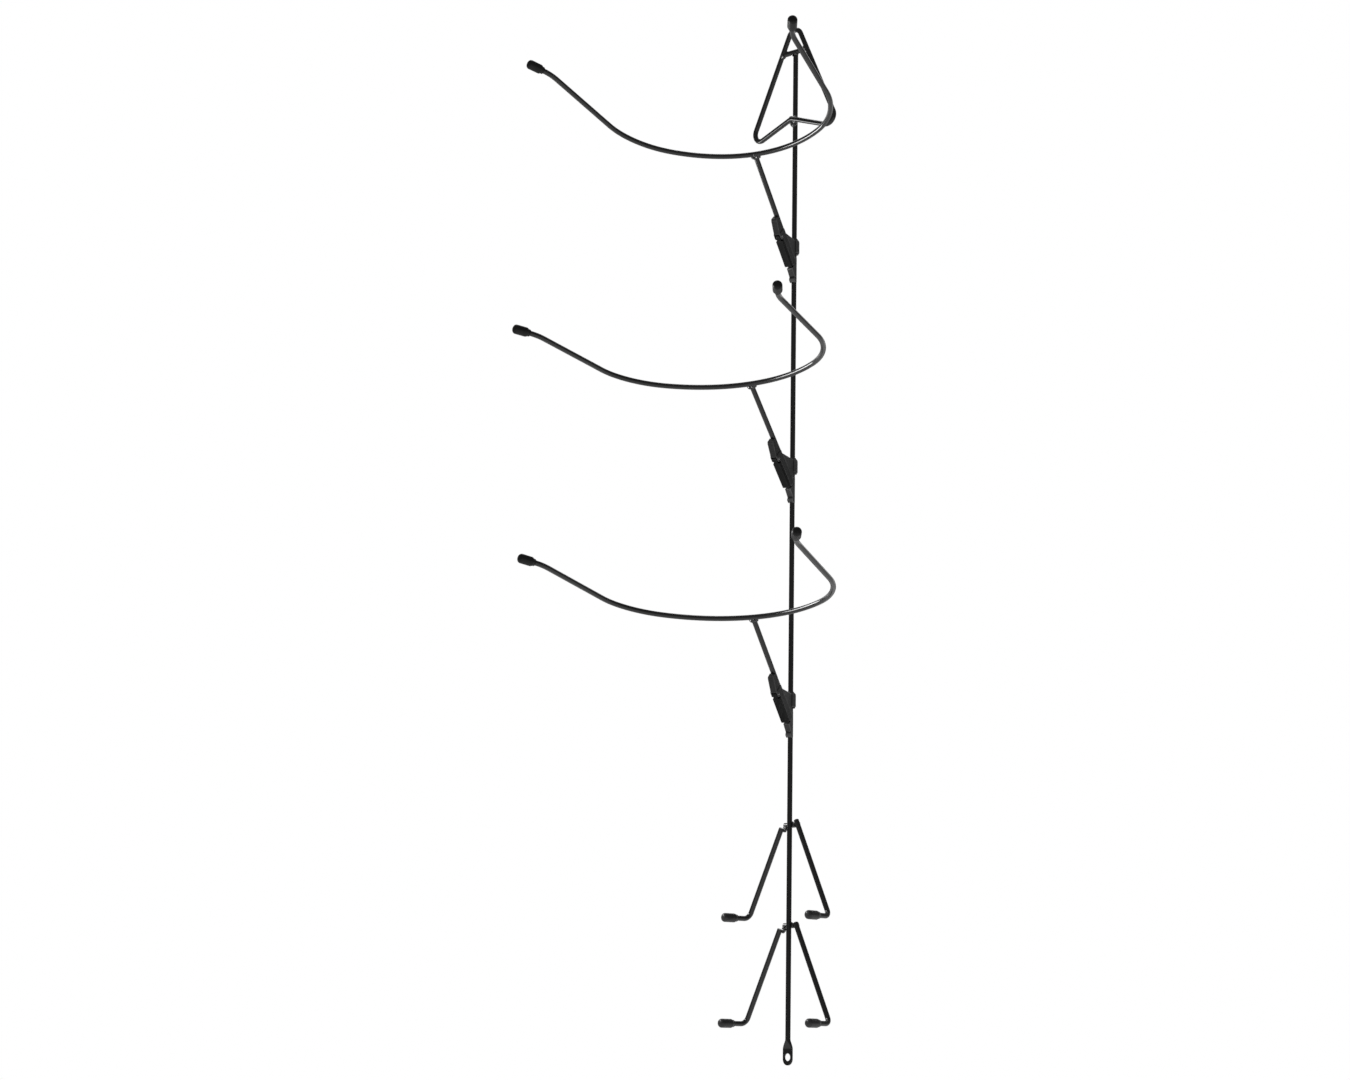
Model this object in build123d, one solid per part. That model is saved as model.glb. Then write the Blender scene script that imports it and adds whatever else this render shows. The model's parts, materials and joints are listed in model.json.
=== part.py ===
from build123d import *
import os
from math import sin, cos, tan, atan2, radians, degrees, hypot

# Wall-hung guitar rack of welded steel rod.
# Millimetres.  +Z is up along the pole, -Y is the front (away from the wall),
# +X is to the right of somebody facing the front.
# The origin is the centre of the screw eye at the foot of the pole.

# ---------------------------------------------------------------- rod stock
rod_r = 3.0                  # all rods are 6 mm stock
weld_r = 3.3                 # weld blob where two rods cross

# ---------------------------------------------------------------- pole
eye_from_bottom = 9.3        # eye centre above the very end of the tab
tab_w = 14.4                 # flattened width
tab_t = 2.0                  # flattened thickness
tab_shoulder_z = 9.0         # where the full width starts, above the eye
neck_z = 20.5                # where the rod is round again
eye_r = 4.3
pole_top_z = 1189.9          # end of the pole, coped under the hanger crossbar

# ---------------------------------------------------------------- hanger
hanger_apex_z = 1231.6       # corner of the centre lines
hanger_side_y = -1.5
hanger_corner_x = 73.5
hanger_corner_y = -1.8
hanger_corner_z = 1083.7
hanger_vee_y = -6.15         # the vee runs in front of the pole
hanger_vee_z = 1107.6
hanger_apex_bend = 10.0      # centre-line bend radii
hanger_corner_bend = 10.5
hanger_vee_bend = 12.0
crossbar_z = 1191.6

# ---------------------------------------------------------------- cradles
# one half of the cradle curve, from its middle out to the tip, in its plane
cr_R1, cr_a1 = 180.0, 33.4   # bottom arc: radius, angle
cr_R2, cr_a2 = 102.3, 34.2   # shoulder arc
cr_R3, cr_a3 = 81.5, 15.6    # upper shoulder arc
cr_L4 = 102.2                # straight prong
cr_R5, cr_a5 = 53.5, 22.2    # outward curl before the tip
cr_L6 = 20.8                 # straight end, most of it inside the tip cap
cradle_rho = 97.5            # middle of the cradle in front of the pole axis
tip_cap_r, tip_cap_len, tip_cap_end = 5.45, 21.0, 3.2

# each arm: height where its strut axis meets the pole axis, height of the
# cradle's middle above that, cradle slope, cradle roll, swivel about the pole
arms = {
    "top":    dict(z=928.6, h=110.7, tilt=17.3, roll=-0.34, swivel=14.2),
    "middle": dict(z=663.3, h=102.1, tilt=10.0, roll=1.6, swivel=12.8),
    "bottom": dict(z=387.0, h=106.1, tilt=11.8, roll=1.07, swivel=16.2),
}
strut_end_u = 9.2            # lower end of the strut, along its own axis

# ---------------------------------------------------------------- clamp
groove_r = 3.02              # strut seat and cap bores, a push fit on the rod
saddle_r = 3.35              # relief round the pole under the sleeve
bush_in_r = 3.05             # 0.05 mm running clearance on the pole
bush_out_r = 4.0
sleeve_bore_r = 4.05         # 0.05 mm running clearance on the bush
sleeve_r = 6.3
sleeve_z0, sleeve_z1 = 13.4, 31.0
sleeve_round = 3.8
bush_lip_r, bush_lip_t = 5.2, 1.0
wedge_w = 8.0
jaw_w = 9.2
jaw_front = 10.2             # distance of the jaw's front face from the strut axis
jaw_u0, jaw_u1 = 3.2, 49.2
tongue_w = 8.2
tongue_u1 = 66.8
tongue_n0, tongue_n1 = 15.0, 10.4   # front of the tongue at its foot and at its top
pin_u, pin_n, pin_r = 44.2, 12.0, 1.25
pad_u0, pad_u1 = 4.8, 39.8
pad_n0, pad_n1 = 10.6, 15.4
ear_r = 3.1                  # front of the cheeks beyond the lever pin
ear_back = 3.4
lever_end_r = 3.4
lever_neck_w = 5.8
ear_gap = 6.5
slot_r = 3.75
foot_n = 13.2                # toe of the inner jaw, under the lever's end
web_top_z, web_strut_z = 29.0, 32.4

# ---------------------------------------------------------------- peg frames
# height of the short cross rod, of the bends at the feet, and of the two leg tops
pegs = {
    "upper": dict(zc=264.4, zf=158.1, top_l=261.0, top_r=269.7, dx=0.9),
    "lower": dict(zc=149.2, zf=37.6, top_l=145.2, top_r=152.2, dx=0.0),
}
cross_left, cross_right = 13.2, 8.8   # the cross rods run behind the pole, short of the right leg
weld_right_in, weld_right_y, weld_right_r = 1.7, 2.6, 3.0
leg_x0, leg_run = 11.8, 0.478  # leg axis at the cross rod, and its sideways run per mm of drop
foot_y = -1.4
foot_out = 2.9               # the feet toe out by this much
foot_tip_y = -42.5
foot_bend = 8.0
peg_cap_r, peg_cap_len, peg_cap_end = 5.2, 22.0, 3.0


# ================================================================ helpers
def V(p):
    return Vector(*p)


def sweep_edges(edges, r):
    path = Wire(edges)
    start = path.position_at(0)
    tang = path.tangent_at(0)
    prof = Plane(origin=start, z_dir=tang) * Circle(r)
    return sweep(prof, path=path)


def bent_edges(pts, radii, closed=False):
    """Straight runs joined by tangent arcs, one radius for each corner."""
    pts = [V(p) for p in pts]
    n = len(pts)
    corners = range(n) if closed else range(1, n - 1)
    cut = {}
    for k, i in enumerate(corners):
        a, b, c = pts[(i - 1) % n], pts[i], pts[(i + 1) % n]
        d1, d2 = (a - b).normalized(), (c - b).normalized()
        turn = radians(180 - d1.get_angle(d2))
        R = radii[k]
        t = R * tan(turn / 2)
        bis = (d1 + d2).normalized()
        gap = R / cos(turn / 2) - R
        cut[i] = (b + d1 * t, b + bis * gap, b + d2 * t)
    edges = []
    if closed:
        for i in range(n):
            p, q, s = cut[i]
            nxt = cut[(i + 1) % n][0]
            edges += [ThreePointArc(p, q, s), Line(s, nxt)]
    else:
        cur = pts[0]
        for i in range(1, n - 1):
            p, q, s = cut[i]
            edges += [Line(cur, p), ThreePointArc(p, q, s)]
            cur = s
        edges.append(Line(cur, pts[-1]))
    return edges


def rod(p, q, r=rod_r):
    p, q = V(p), V(q)
    d = q - p
    return Plane(origin=p, z_dir=d) * Cylinder(r, d.length, align=(Align.CENTER, Align.CENTER, Align.MIN))


def cap(end, direction, r, length, end_wall, mouth=0.6, nose=2.2):
    """Push-on rubber cap: a blind sleeve with a domed end."""
    d = V(direction).normalized()
    p = V(end) - d * length
    body = Cylinder(r, length, align=(Align.CENTER, Align.CENTER, Align.MIN))
    tops = body.edges().sort_by(Axis.Z)
    body = fillet(tops[-1:], nose)
    body = fillet(body.edges().sort_by(Axis.Z)[:1], mouth)
    body -= Cylinder(groove_r, length - end_wall, align=(Align.CENTER, Align.CENTER, Align.MIN))
    return Plane(origin=p, z_dir=d) * body


def one(shape):
    """The single solid of a result."""
    s = shape.solids()
    if len(s) == 1:
        return s[0]
    s = sorted(s, key=lambda q: -q.volume)
    return s[0]


out = {}


# ================================================================ pole
def make_pole():
    body = Pos(0, 0, neck_z) * Cylinder(rod_r, pole_top_z - neck_z, align=(Align.CENTER, Align.CENTER, Align.MIN))
    neck = loft([
        (Plane.XY.offset(tab_shoulder_z) * Ellipse(tab_w / 2, tab_t / 2)).face(),
        (Plane.XY.offset(neck_z) * Circle(rod_r)).face(),
    ])
    low = -eye_from_bottom
    plate = Plane.XZ * (
        Pos(0, (low + tab_w / 2 + tab_shoulder_z) / 2) * Rectangle(tab_w, tab_shoulder_z - low - tab_w / 2)
        + Pos(0, low + tab_w / 2) * Circle(tab_w / 2)
    )
    plate = extrude(plate, tab_t / 2, both=True)
    plate -= Rot(90, 0, 0) * Cylinder(eye_r, 4 * tab_t)
    return body + neck + plate


# ================================================================ hanger
def make_hanger():
    pts = [(0, hanger_side_y, hanger_apex_z),
           (hanger_corner_x, hanger_corner_y, hanger_corner_z),
           (0, hanger_vee_y, hanger_vee_z),
           (-hanger_corner_x, hanger_corner_y, hanger_corner_z)]
    edges = bent_edges(pts, [hanger_apex_bend, hanger_corner_bend, hanger_vee_bend, hanger_corner_bend], closed=True)
    # the loop starts half way down its left side, so that the sweep closes on a straight
    last = edges[-1]
    a, b = last.position_at(0), last.position_at(1)
    m = (a + b) * 0.5
    edges = [Line(m, b)] + edges[:-1] + [Line(a, m)]
    return sweep_edges(edges, rod_r)


hanger = make_hanger()
half = (hanger_apex_z - crossbar_z) * hanger_corner_x / (hanger_apex_z - hanger_corner_z)
crossbar = rod((-half, hanger_side_y, crossbar_z), (half, hanger_side_y, crossbar_z)) - hanger
crossbar = one(crossbar)
pole = make_pole()
pole = one(pole - rod((-30, hanger_side_y, crossbar_z), (30, hanger_side_y, crossbar_z)))
out["pole"] = pole
out["hanger_wire"] = one(hanger)
out["hanger_crossbar"] = crossbar


# ================================================================ peg frames
for name, g in pegs.items():
    zc, zf = g["zc"], g["zf"]
    cross = rod((-cross_left, 2 * rod_r, zc), (cross_right, 2 * rod_r, zc))
    legs = []
    for sx, side_name in ((-1, "left"), (1, "right")):
        top_z = g["top_l"] if sx < 0 else g["top_r"]
        x_foot = sx * (leg_x0 + leg_run * (zc - zf)) + g["dx"]
        x_top = sx * (leg_x0 + leg_run * (zc - top_z)) + g["dx"]
        tip = Vector(x_foot + sx * foot_out, foot_tip_y, zf)
        d = (tip - Vector(x_foot, foot_y, zf)).normalized()
        leg = sweep_edges(bent_edges([(x_top, 0, top_z), (x_foot, foot_y, zf), tuple(tip - d * peg_cap_end)], [foot_bend]), rod_r)
        leg = one(leg)
        legs.append(leg)
        out[f"{name}_peg_{side_name}_leg"] = leg
        out[f"{name}_peg_{side_name}_cap"] = one(cap(tip, d, peg_cap_r, peg_cap_len, peg_cap_end, nose=2.0))
        # weld blob between this leg and the cross rod
        x_weld = sx * leg_x0 + g["dx"]
        if sx < 0:
            cross = cross + Pos(x_weld, rod_r, min(zc, top_z - 0.5)) * Sphere(weld_r)
        else:
            bead = Pos(x_weld - weld_right_in, weld_right_y, zc) * Sphere(weld_right_r)
            bead += rod((cross_right - 0.4, 2 * rod_r - 1.6, zc), (x_weld - weld_right_in + 0.4, weld_right_y, zc), 2.6)
            cross = cross + bead
    cross = cross + Pos(0, rod_r, zc) * Sphere(weld_r)
    for q in legs:
        cross = cross - q
    cross = cross - Pos(0, 0, zc) * Cylinder(rod_r, 40)
    out[f"{name}_peg_cross_rod"] = one(cross)


# ================================================================ arms
def cradle_half():
    """Points (x, v) of the half curve: end points and arc mid points."""
    x = v = 0.0
    th = 0.0
    segs = []

    def arc(R, a, sgn):
        nonlocal x, v, th
        a = radians(a)
        p0 = (x, v)
        cx, cv = x - sgn * R * sin(th), v + sgn * R * cos(th)
        def at(t):
            return (cx + sgn * R * sin(th + sgn * t), cv - sgn * R * cos(th + sgn * t))
        pm, p1 = at(a / 2), at(a)
        segs.append(("arc", p0, pm, p1))
        x, v = p1
        th += sgn * a

    def line(L):
        nonlocal x, v
        p0 = (x, v)
        x, v = x + L * cos(th), v + L * sin(th)
        segs.append(("line", p0, (x, v)))

    arc(cr_R1, cr_a1, 1)
    arc(cr_R2, cr_a2, 1)
    arc(cr_R3, cr_a3, 1)
    line(cr_L4)
    arc(cr_R5, cr_a5, -1)
    line(cr_L6)
    return segs, (x, v), (cos(th), sin(th))


def make_arm(name, g):
    alpha = atan2(g["h"], cradle_rho)
    ca, sa = cos(alpha), sin(alpha)
    tau, rho = radians(g["tilt"]), radians(g["roll"])
    # local frame: pole axis is Z, the strut lies in the plane X = 0 towards -Y,
    # and z = 0 is where the strut axis meets the pole axis
    origin = Vector(0, -cradle_rho, g["h"])
    ex = Vector(cos(rho), 0, sin(rho))
    ev0 = Vector(0, -cos(tau), sin(tau))
    nn = ex.cross(ev0).normalized()
    ev = nn.cross(ex)

    def M(p):
        return origin + ex * p[0] + ev * p[1]

    segs, tip, tdir = cradle_half()
    # the rod stops inside the cap
    kind, p0, p1 = segs[-1]
    stop = (p1[0] - tdir[0] * tip_cap_end, p1[1] - tdir[1] * tip_cap_end)
    segs[-1] = (kind, p0, stop)
    right = []
    for s in segs:
        if s[0] == "arc":
            right.append(ThreePointArc(M(s[1]), M(s[2]), M(s[3])))
        else:
            right.append(Line(M(s[1]), M(s[2])))
    mir = lambda p: (-p[0], p[1])
    left = []
    for s in reversed(segs):
        if s[0] == "arc":
            left.append(ThreePointArc(M(mir(s[3])), M(mir(s[2])), M(mir(s[1]))))
        else:
            left.append(Line(M(mir(s[2])), M(mir(s[1]))))
    # the two bottom arcs are one arc
    first = segs[0]
    bottom = ThreePointArc(M(mir(first[3])), M((0, 0)), M(first[3]))
    cradle = one(sweep_edges(left[:-1] + [bottom] + right[1:], rod_r))

    def U(u, n, x=0.0):
        """Point from distances along the strut axis and in front of it."""
        return Vector(x, -(u * ca + n * sa), u * sa - n * ca)

    # strut, coped against the cradle
    top_u = hypot(cradle_rho, g["h"])
    strut = rod(tuple(U(strut_end_u, 0)), tuple(U(top_u, 0)))
    strut = one(strut - cradle)

    # tip caps
    dR = (ex * tdir[0] + ev * tdir[1])
    dL = (ex * -tdir[0] + ev * tdir[1])
    capR = one(cap(M(tip), dR, tip_cap_r, tip_cap_len, tip_cap_end))
    capL = one(cap(M(mir(tip)), dL, tip_cap_r, tip_cap_len, tip_cap_end))

    # a plane whose x is along the strut and whose y is in front of it
    side = Plane(origin=(0, 0, 0), x_dir=tuple(U(1, 0)), z_dir=tuple(U(1, 0).cross(U(0, 1))))

    def prism(pts, w):
        """Extrude a (u, n) outline across the full width w."""
        f = make_face(Polyline(*[(a, b) for a, b in pts], close=True))
        return side * extrude(f, w / 2, both=True)

    def rz(r_, z_):
        """(rho, z) to (u, n)."""
        return (r_ * ca + z_ * sa, r_ * sa - z_ * ca)

    groove = rod(tuple(U(-20, 0)), tuple(U(top_u, 0)), groove_r)
    strut_seat = rod(tuple(U(strut_end_u - 0.3, 0)), tuple(U(top_u, 0)), groove_r)

    # ---- inner jaw: sleeve round the bush, wedge up to the strut, nose on the pole
    outline = [rz(0, -22.2), rz(3.4, -22.2), rz(5.8, -19.6), rz(5.9, -18.4), rz(4.9, -15.8), (1.0, foot_n),
               (2.6, foot_n), (2.6, 0.0), (web_strut_z / sa, 0.0), rz(5.2, web_top_z), rz(0, web_top_z)]
    wedge = prism(outline, wedge_w)
    sleeve = Pos(0, 0, sleeve_z0) * Cylinder(sleeve_r, sleeve_z1 - sleeve_z0, align=(Align.CENTER, Align.CENTER, Align.MIN))
    sleeve = fillet(sleeve.edges().sort_by(Axis.Z)[-1:], sleeve_round)
    sleeve = fillet(sleeve.edges().sort_by(Axis.Z)[:1], 0.9)
    inner = wedge + sleeve
    inner -= strut_seat
    inner -= Pos(0, 0, sleeve_z0 - 5) * Cylinder(sleeve_bore_r, 60, align=(Align.CENTER, Align.CENTER, Align.MIN))
    inner -= Pos(0, 0, sleeve_z0) * Cylinder(saddle_r, 60, align=(Align.CENTER, Align.CENTER, Align.MAX))
    # the bush's lip sits in a pocket under the sleeve
    inner -= Pos(0, 0, sleeve_z0 - 5) * Cylinder(bush_lip_r + 0.3, 5.0, align=(Align.CENTER, Align.CENTER, Align.MIN))
    # nothing of the wedge lies behind the pole under the sleeve
    inner -= Pos(0, 0, sleeve_z0) * Box(40, 20, 80, align=(Align.CENTER, Align.MIN, Align.MAX))
    inner = one(inner)

    # ---- outer jaw: channel over the strut, cheeks for the lever pin, tongue above
    body = prism([(jaw_u0, 0.25), (jaw_u0, jaw_front - 1.6), (jaw_u0 + 1.6, jaw_front), (jaw_u1 - 0.8, jaw_front),
                  (jaw_u1, jaw_front - 0.8), (jaw_u1, 0.25)], jaw_w)
    tongue = prism([(jaw_u1 - 2.0, 1.2), (jaw_u1 - 2.0, tongue_n0 - 1.5), (jaw_u1 - 0.6, tongue_n0),
                    (tongue_u1 - 2.2, tongue_n1), (tongue_u1, tongue_n1 - 1.8), (tongue_u1, 1.2)], tongue_w)
    cheeks = prism([(pin_u - ear_back, 5.0), (pin_u - ear_back, pin_n + 1.4), (pin_u - 1.7, pin_n + ear_r),
                    (jaw_u1 - 0.8, pin_n + ear_r), (jaw_u1, pin_n + ear_r - 0.8), (jaw_u1, 5.0)], jaw_w)
    outer = body + tongue + cheeks
    # slot for the lever's neck
    slot = side * (Pos(pin_u, pin_n) * extrude(Circle(slot_r), ear_gap / 2, both=True))
    slot += prism([(pin_u - slot_r - 0.6, jaw_front), (pin_u - slot_r - 0.6, 20), (pin_u, 20), (pin_u, jaw_front)], ear_gap)
    slot += prism([(pin_u - 1, pin_n), (pin_u - 1, 20), (pin_u + slot_r, 20), (pin_u + slot_r, pin_n)], ear_gap)
    outer -= slot
    outer -= rod(tuple(U(-5, 0)), tuple(U(top_u, 0)), groove_r)
    outer -= side * (Pos(pin_u, pin_n) * extrude(Circle(pin_r + 0.02), 20, both=True))
    outer = one(outer)

    # ---- lever: pad along the jaw, neck between the cheeks
    pad = prism([(pad_u0, pad_n0), (pad_u0, pad_n1 - 1.2), (pad_u0 + 1.6, pad_n1), (pad_u1, pad_n1), (pad_u1, pad_n0)], jaw_w)
    along = Axis((0, 0, 0), tuple(U(1, 0)))
    outward = Axis((0, 0, 0), tuple(U(0, 1)))
    pad = fillet(pad.edges().filter_by(along).sort_by(outward)[-2:], 1.0)
    neck = prism([(pad_u1 - 1.0, pad_n0), (pad_u1 - 1.0, pad_n1 - 0.4), (pin_u, pin_n + lever_end_r),
                  (pin_u, pin_n - lever_end_r), (pin_u - 3.0, pad_n0)], lever_neck_w)
    neck += side * (Pos(pin_u, pin_n) * extrude(Circle(lever_end_r), lever_neck_w / 2, both=True))
    lever = pad + neck
    lever -= side * (Pos(pin_u, pin_n) * extrude(Circle(pin_r + 0.05), 20, both=True))
    lever = one(lever)

    pin = one(side * (Pos(pin_u, pin_n) * extrude(Circle(pin_r), (jaw_w + 0.5) / 2, both=True)))

    # ---- bush on the pole, with a lip under the sleeve
    bush = Pos(0, 0, sleeve_z0) * Cylinder(bush_out_r, sleeve_z1 - sleeve_z0 + 0.5, align=(Align.CENTER, Align.CENTER, Align.MIN))
    bush += Pos(0, 0, sleeve_z0 - 0.05) * Cylinder(bush_lip_r, bush_lip_t, align=(Align.CENTER, Align.CENTER, Align.MAX))
    bush += Pos(0, 0, sleeve_z0 - 0.1) * Cylinder(bush_out_r, 0.3, align=(Align.CENTER, Align.CENTER, Align.MIN))
    bush -= Cylinder(bush_in_r, 400)
    bush = one(bush)

    place = Pos(0, 0, g["z"]) * Rot(0, 0, g["swivel"])
    for k, s in (("cradle", cradle), ("strut", strut), ("left_tip_cap", capL), ("right_tip_cap", capR),
                 ("clamp_inner_jaw", inner), ("clamp_outer_jaw", outer), ("clamp_lever", lever),
                 ("lever_pin", pin), ("pole_bush", bush)):
        out[f"{name}_{k}"] = place * s
    pv = place * Pos(*U(pin_u, pin_n))
    print(name, "lever pivot", tuple(round(c, 3) for c in pv.position), "alpha", round(degrees(alpha), 2),
          "right tip", tuple(round(c, 2) for c in (place * Pos(*M(tip))).position),
          "left tip", tuple(round(c, 2) for c in (place * Pos(*M(mir(tip)))).position))


for nm, g in arms.items():
    make_arm(nm, g)

os.makedirs("parts", exist_ok=True)
for node, shape in out.items():
    shape.label = node
    export_step(shape, f"parts/{node}.step")
print(len(out), "nodes")
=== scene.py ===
import bpy, bmesh, json, math
from math import sin, cos, tan, atan2, radians, degrees, hypot, pi, sqrt
from mathutils import Vector, Matrix, noise


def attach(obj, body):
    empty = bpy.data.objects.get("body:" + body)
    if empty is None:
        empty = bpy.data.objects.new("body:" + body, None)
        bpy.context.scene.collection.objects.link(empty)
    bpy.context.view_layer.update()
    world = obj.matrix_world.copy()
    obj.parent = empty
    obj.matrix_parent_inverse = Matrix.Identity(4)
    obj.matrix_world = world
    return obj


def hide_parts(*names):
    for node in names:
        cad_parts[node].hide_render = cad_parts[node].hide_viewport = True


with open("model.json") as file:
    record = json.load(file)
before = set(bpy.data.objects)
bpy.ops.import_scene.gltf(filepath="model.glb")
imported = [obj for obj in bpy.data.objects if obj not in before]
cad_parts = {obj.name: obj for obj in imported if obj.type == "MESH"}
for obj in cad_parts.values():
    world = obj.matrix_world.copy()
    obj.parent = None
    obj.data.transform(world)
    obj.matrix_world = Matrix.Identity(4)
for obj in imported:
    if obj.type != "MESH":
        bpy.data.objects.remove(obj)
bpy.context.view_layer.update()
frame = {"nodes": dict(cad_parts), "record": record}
MM = 0.001

# ------------------------------------------------------------------ sizes, in millimetres
ROD = 3.0
ARMS = {
    "top":    dict(z=928.6, h=110.7, tilt=17.3, roll=-0.34, swivel=14.2),
    "middle": dict(z=663.3, h=102.1, tilt=10.0, roll=1.6, swivel=12.8),
    "bottom": dict(z=387.0, h=106.1, tilt=11.8, roll=1.07, swivel=16.2),
}
CRADLE_RHO = 97.5
CRADLE = [("arc", 180.0, 33.4, 1), ("arc", 102.3, 34.2, 1), ("arc", 81.5, 15.6, 1),
          ("line", 102.2), ("arc", 53.5, 22.2, -1), ("line", 20.8)]
TIP_CAP = (5.45, 21.0)
PEG_CAP = (5.2, 22.0)
CROSS_L, CROSS_R = 13.2, 8.8
PEGS = {
    "upper": dict(zc=264.4, zf=158.1, top_l=261.0, top_r=269.7, dx=0.9),
    "lower": dict(zc=149.2, zf=37.6, top_l=145.2, top_r=152.2, dx=0.0),
}


# ------------------------------------------------------------------ materials
def new_mat(name):
    m = bpy.data.materials.new(name)
    m.use_nodes = True
    nt = m.node_tree
    for nd in list(nt.nodes):
        nt.nodes.remove(nd)
    out = nt.nodes.new("ShaderNodeOutputMaterial")
    bsdf = nt.nodes.new("ShaderNodeBsdfPrincipled")
    nt.links.new(bsdf.outputs[0], out.inputs[0])
    tc = nt.nodes.new("ShaderNodeTexCoord")
    return m, nt, bsdf, tc


def noise_node(nt, tc, scale, detail=3.0, rough=0.55, stretch=None):
    n = nt.nodes.new("ShaderNodeTexNoise")
    n.inputs["Scale"].default_value = scale
    n.inputs["Detail"].default_value = detail
    n.inputs["Roughness"].default_value = rough
    src = tc.outputs["Object"]
    if stretch:
        mp = nt.nodes.new("ShaderNodeMapping")
        mp.inputs["Scale"].default_value = stretch
        nt.links.new(src, mp.inputs[0])
        src = mp.outputs[0]
    nt.links.new(src, n.inputs["Vector"])
    return n


def ramp(nt, src, stops):
    r = nt.nodes.new("ShaderNodeValToRGB")
    els = r.color_ramp.elements
    while len(els) < len(stops):
        els.new(0.5)
    for e, (p, c) in zip(els, stops):
        e.position = p
        e.color = (c, c, c, 1) if isinstance(c, (int, float)) else (*c, 1)
    nt.links.new(src, r.inputs[0])
    return r


def bump(nt, src, strength, dist, below=None):
    b = nt.nodes.new("ShaderNodeBump")
    b.inputs["Strength"].default_value = strength
    b.inputs["Distance"].default_value = dist
    nt.links.new(src, b.inputs["Height"])
    if below is not None:
        nt.links.new(below.outputs[0], b.inputs["Normal"])
    return b


def surface(name, cols, rough, peel, peel_h, metallic=0.0, coat=0.0, coat_rough=0.1, spec=0.5,
            fine=None, fine_h=0.0, stretch=None, edge_highlight_gain=0.0):
    m, nt, b, tc = new_mat(name)
    big = noise_node(nt, tc, 38.0, 5.0, 0.6)
    small = noise_node(nt, tc, 420.0, 4.0, 0.6)
    mix = nt.nodes.new("ShaderNodeMix")
    mix.data_type = "FLOAT"
    mix.inputs[0].default_value = 0.4
    nt.links.new(big.outputs[0], mix.inputs[2])
    nt.links.new(small.outputs[0], mix.inputs[3])
    col = ramp(nt, mix.outputs[0], [(0.34, cols[0]), (0.66, cols[1])])
    tint = col.outputs[0]
    if edge_highlight_gain:
        # painted highlight: convex moulded edges (pointiness) are made lighter; painted shade: creases and the gaps
        # between parts (ambient occlusion) are made darker
        geo = nt.nodes.new("ShaderNodeNewGeometry")
        painted_edge_highlight = nt.nodes.new("ShaderNodeMapRange")
        painted_edge_highlight.inputs["From Min"].default_value = 0.485
        painted_edge_highlight.inputs["From Max"].default_value = 0.53
        painted_edge_highlight.inputs["To Min"].default_value = 0.15
        painted_edge_highlight.inputs["To Max"].default_value = edge_highlight_gain
        nt.links.new(geo.outputs["Pointiness"], painted_edge_highlight.inputs["Value"])
        gap = nt.nodes.new("ShaderNodeAmbientOcclusion")
        gap.samples = 6
        gap.inputs["Distance"].default_value = 0.0024
        shade = nt.nodes.new("ShaderNodeMapRange")
        shade.inputs["From Min"].default_value = 0.52
        shade.inputs["From Max"].default_value = 0.95
        nt.links.new(gap.outputs["AO"], shade.inputs["Value"])
        both = nt.nodes.new("ShaderNodeMath")
        both.operation = "MULTIPLY"
        nt.links.new(painted_edge_highlight.outputs[0], both.inputs[0])
        nt.links.new(shade.outputs[0], both.inputs[1])
        by = nt.nodes.new("ShaderNodeVectorMath")
        by.operation = "SCALE"
        nt.links.new(tint, by.inputs[0])
        nt.links.new(both.outputs[0], by.inputs["Scale"])
        tint = by.outputs[0]
    nt.links.new(tint, b.inputs["Base Color"])
    rn = noise_node(nt, tc, 160.0, 6.0, 0.65, stretch)
    rr = ramp(nt, rn.outputs[0], [(0.32, rough[0]), (0.7, rough[1])])
    nt.links.new(rr.outputs[0], b.inputs["Roughness"])
    pn = noise_node(nt, tc, peel, 2.0, 0.5, stretch)
    bp = bump(nt, pn.outputs[0], 1.0, peel_h)
    if fine:
        fn = noise_node(nt, tc, fine, 2.0, 0.6)
        bp = bump(nt, fn.outputs[0], 1.0, fine_h, bp)
    nt.links.new(bp.outputs[0], b.inputs["Normal"])
    b.inputs["Metallic"].default_value = metallic
    b.inputs["Specular IOR Level"].default_value = spec
    b.inputs["Coat Weight"].default_value = coat
    b.inputs["Coat Roughness"].default_value = coat_rough
    return m


M_PAINT = surface("black_powder_coat", (0.0065, 0.0095), (0.16, 0.22), 120.0, 0.0000008, coat=0.45, coat_rough=0.09)
M_WELD = surface("painted_weld", (0.008, 0.016), (0.1, 0.18), 520.0, 0.000006, coat=1.0, coat_rough=0.05)
M_CAP = surface("cap_vinyl", (0.008, 0.016), (0.42, 0.55), 700.0, 0.000004, fine=3600.0, fine_h=0.000002, spec=0.22, coat=0.14, coat_rough=0.08)
M_PEGCAP = surface("peg_cap_vinyl", (0.018, 0.034), (0.38, 0.5), 700.0, 0.000005, fine=3600.0, fine_h=0.000003, spec=0.4, coat=0.3, coat_rough=0.08)
# the last argument of these three clamp materials sets how bright the painted highlight on convex edges is; they also
# carry painted shade in creases and between parts
M_CLAMP = surface("clamp_plastic", (0.036, 0.066), (0.36, 0.48), 600.0, 0.000006, fine=4200.0, fine_h=0.000005, spec=0.18, edge_highlight_gain=4.0)
M_JAW = surface("jaw_plastic", (0.007, 0.013), (0.3, 0.42), 600.0, 0.000006, fine=4200.0, fine_h=0.000005, spec=0.14, edge_highlight_gain=14.0)
M_LEVER = surface("lever_plastic", (0.0012, 0.0024), (0.34, 0.46), 600.0, 0.000005, fine=4200.0, fine_h=0.000004, spec=0.1, edge_highlight_gain=16.0)
M_BUSH = surface("bush_plastic", (0.03, 0.045), (0.28, 0.4), 600.0, 0.000005, spec=0.5)
M_PIN = surface("pin_steel", (0.42, 0.6), (0.2, 0.34), 2500.0, 0.000006, metallic=1.0, stretch=(1, 1, 6))
MATS = {"black_rod": M_PAINT, "clamp_plastic": M_CLAMP, "lever_plastic": M_LEVER, "bush": M_BUSH,
        "pin_steel": M_PIN, "tip_cap": M_CAP, "peg_cap": M_PEGCAP}

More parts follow.
